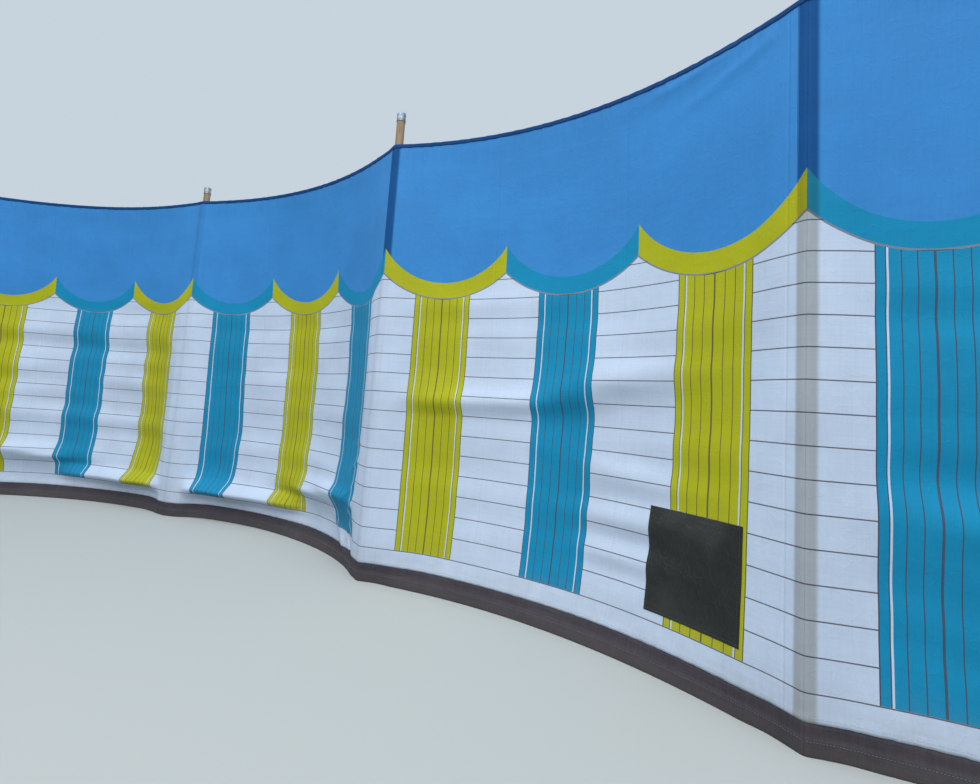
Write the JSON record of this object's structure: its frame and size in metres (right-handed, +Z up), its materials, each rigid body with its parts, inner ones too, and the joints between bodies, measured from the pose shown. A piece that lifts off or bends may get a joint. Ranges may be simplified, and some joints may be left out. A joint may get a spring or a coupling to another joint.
{
  "type": "beach windbreak",
  "caption": "Free-standing beach windbreak: bays of printed cloth bellied by the wind between wooden poles with metal caps.",
  "frame": {"origin": "on the axis of the third pole from the left, at ground level, on the flat face of that pole", "axes": "+X along the front bay to the next pole on the right, +Y the way the wind pushes the cloth, +Z up"},
  "size_m": [5.5842, 0.877, 1.518],
  "materials": {
    "pole_wood": "smooth sanded pine, unvarnished",
    "cap_metal": "bright zinc, slightly dull",
    "pocket_cloth": "back of printed polyester, slight sheen",
    "printed_cloth": "printed polyester with a slight satin sheen",
    "strip_cloth": "dark woven polyester",
    "binding_tape": "navy woven tape",
    "patch_cloth": "dark coated cloth, matt"
  },
  "bodies": {
    "root": {"pole_1": "pole_wood", "pole_2": "pole_wood", "pole_3": "pole_wood", "pole_4": "pole_wood", "pole_5": "pole_wood", "pole_6": "pole_wood", "pole_cap_1": "cap_metal", "pole_cap_2": "cap_metal", "pole_cap_3": "cap_metal", "pole_cap_4": "cap_metal", "pole_cap_5": "cap_metal", "pole_cap_6": "cap_metal", "pole_pocket_1": "pocket_cloth", "pole_pocket_2": "pocket_cloth", "pole_pocket_3": "pocket_cloth", "pole_pocket_4": "pocket_cloth", "pole_pocket_5": "pocket_cloth", "pole_pocket_6": "pocket_cloth", "cloth_bay_1": "printed_cloth", "cloth_bay_2": "printed_cloth", "cloth_bay_3": "printed_cloth", "cloth_bay_4": "printed_cloth", "cloth_bay_5": "printed_cloth", "ground_strip_1": "strip_cloth", "ground_strip_2": "strip_cloth", "ground_strip_3": "strip_cloth", "ground_strip_4": "strip_cloth", "ground_strip_5": "strip_cloth", "top_binding_1": "binding_tape", "top_binding_2": "binding_tape", "top_binding_3": "binding_tape", "top_binding_4": "binding_tape", "top_binding_5": "binding_tape", "sewn_patch": "patch_cloth"}
  },
  "joints": []
}
